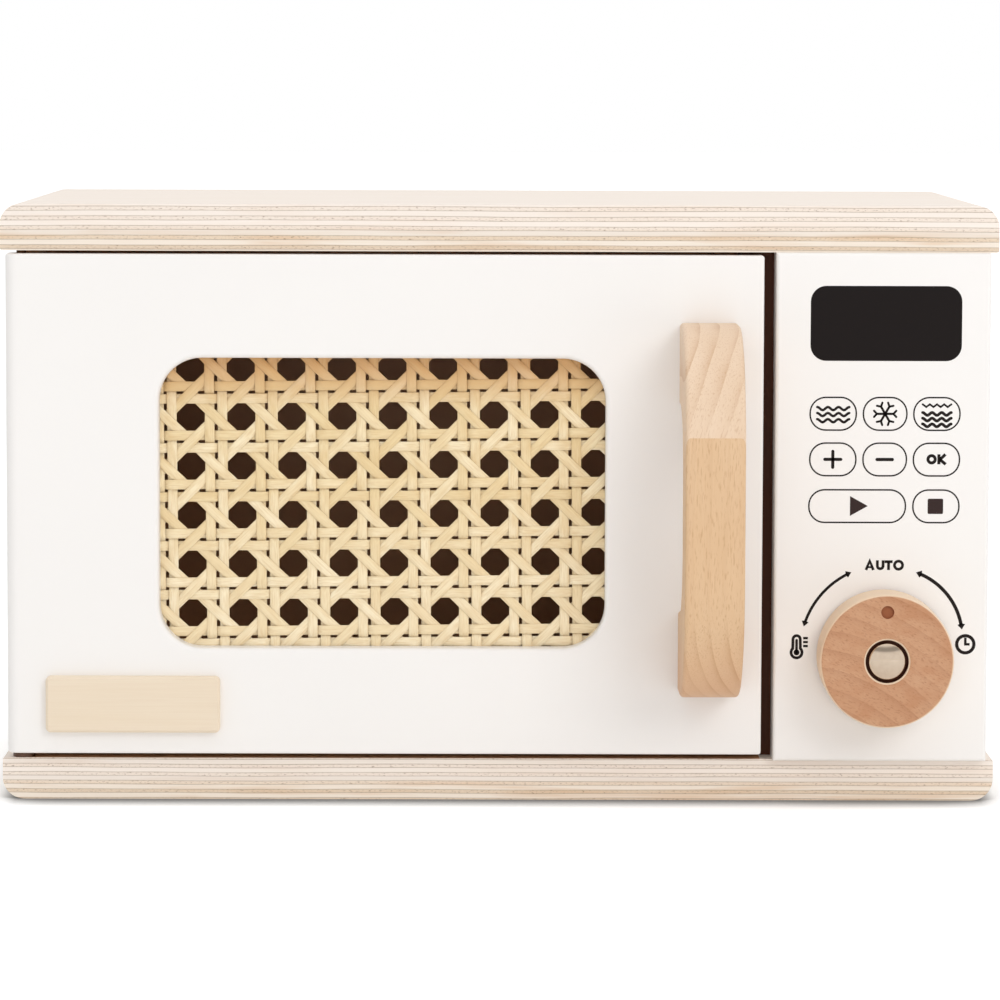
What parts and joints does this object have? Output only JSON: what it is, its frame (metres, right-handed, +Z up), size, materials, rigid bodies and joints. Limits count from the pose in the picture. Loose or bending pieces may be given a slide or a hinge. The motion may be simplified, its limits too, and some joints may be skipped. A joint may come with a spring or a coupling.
{
  "type": "toy oven",
  "caption": "Wooden toy microwave oven: plywood boards, white walls, side-hinged door with cane webbing and bow handle, printed control panel, turning knob and turntable.",
  "frame": {"origin": "on the floor, below the middle of the overall box (handle included)", "axes": "+X to the right along the front, +Y from the front to the back, +Z up"},
  "size_m": [0.3, 0.21, 0.18],
  "materials": {
    "birch_plywood": "sanded, clear matt varnish",
    "white_paint": "satin white paint on MDF",
    "dark_paint": "matt dark brown paint",
    "cane": "natural rattan, satin",
    "beech": "sanded, clear matt varnish",
    "beech_knob": "sanded, clear matt varnish",
    "pale_wood": "sanded bare",
    "nickel": "satin nickel plate",
    "zinc_steel": "zinc plated",
    "nylon": "moulded natural nylon"
  },
  "bodies": {
    "housing": {"bottom_board": "birch_plywood", "top_board": "birch_plywood", "left_wall": "white_paint", "right_wall": "white_paint", "divider_wall": "dark_paint", "back_panel": "white_paint", "control_panel": "white_paint", "hinge_washer": "nylon", "door_magnet": "nickel", "knob_bolt": "nickel", "knob_spacer": "nylon", "knob_washer": "zinc_steel", "knob_nut": "zinc_steel", "turntable_washer": "nylon", "turntable_screw": "zinc_steel", "wall_screws": "zinc_steel", "back_screws": "zinc_steel", "wall_dowels": "beech", "panel_dowels": "beech"},
    "door": {"door_panel": "white_paint", "cane_uprights": "cane", "cane_rails": "cane", "cane_rising_diagonals": "cane", "cane_falling_diagonals": "cane", "cane_retainer": "white_paint", "retainer_screws": "zinc_steel", "door_handle": "beech", "handle_screws": "zinc_steel", "hinge_pin_top": "zinc_steel", "hinge_pin_bottom": "zinc_steel", "strike_disc": "nickel", "name_plate": "pale_wood"},
    "knob": {"control_knob": "beech_knob"},
    "turntable": {"turntable_plate": "birch_plywood"}
  },
  "joints": [
    {"name": "door_hinge", "type": "hinge", "parent": "housing", "child": "door", "pos_m": [-0.1437, -0.0515, 0.09], "axis": [0, 0, -1], "range_deg": [0, 115]},
    {"name": "knob_turn", "type": "hinge", "parent": "housing", "child": "knob", "pos_m": [0.1158, -0.068, 0.045], "axis": [0, -1, 0], "continuous": true},
    {"name": "turntable_spin", "type": "hinge", "parent": "housing", "child": "turntable", "pos_m": [-0.0325, 0.0255, 0.0175], "axis": [0, 0, 1], "continuous": true}
  ]
}
